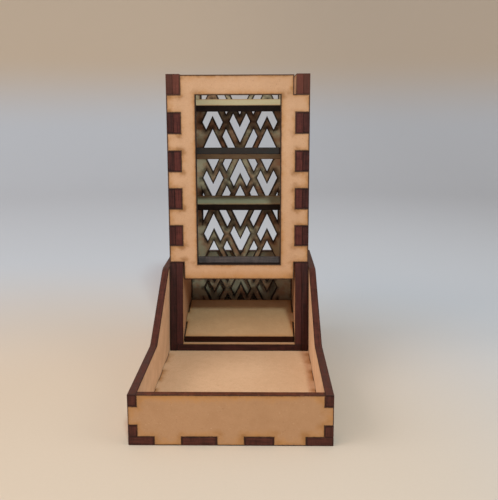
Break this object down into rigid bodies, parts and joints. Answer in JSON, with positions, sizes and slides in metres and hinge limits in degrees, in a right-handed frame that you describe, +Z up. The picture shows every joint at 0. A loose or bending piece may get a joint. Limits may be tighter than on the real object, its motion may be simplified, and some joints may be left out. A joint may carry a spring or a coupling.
{
  "type": "dice tower",
  "caption": "Desktop dice tower of finger-jointed board: a windowed shaft with sloped baffles, a lattice back and an exit ramp, standing loose in a low landing tray.",
  "frame": {"origin": "centre of the tray's underside, on the surface that the object stands on", "axes": "+Z up; -Y is the front, where the dice roll out; +X is to the right of someone looking at the front"},
  "size_m": [0.07, 0.1414, 0.1278],
  "materials": {
    "tray_board": "raw laser-cut fibreboard, matt, with scorched dark brown edges",
    "tower_board": "raw laser-cut fibreboard, matt, with scorched dark brown edges",
    "baffle_board": "raw laser-cut fibreboard, matt, with scorched dark brown edges"
  },
  "bodies": {
    "tray": {"tray_floor": "tray_board", "tray_front_wall": "tray_board", "tray_back_wall": "tray_board", "tray_left_wall": "tray_board", "tray_right_wall": "tray_board"},
    "tower": {"base_plate": "tower_board", "left_inner_side": "tower_board", "left_outer_side": "tower_board", "right_inner_side": "tower_board", "right_outer_side": "tower_board", "front_panel": "tower_board", "back_panel": "tower_board", "upper_back_baffle": "baffle_board", "upper_front_baffle": "baffle_board", "lower_back_baffle": "baffle_board", "lower_front_baffle": "baffle_board", "exit_ramp": "baffle_board"}
  },
  "joints": [
    {"name": "tower_lift", "type": "slide", "parent": "tray", "child": "tower", "axis": [0, 0, 1], "range_m": [0, 0.045]}
  ]
}
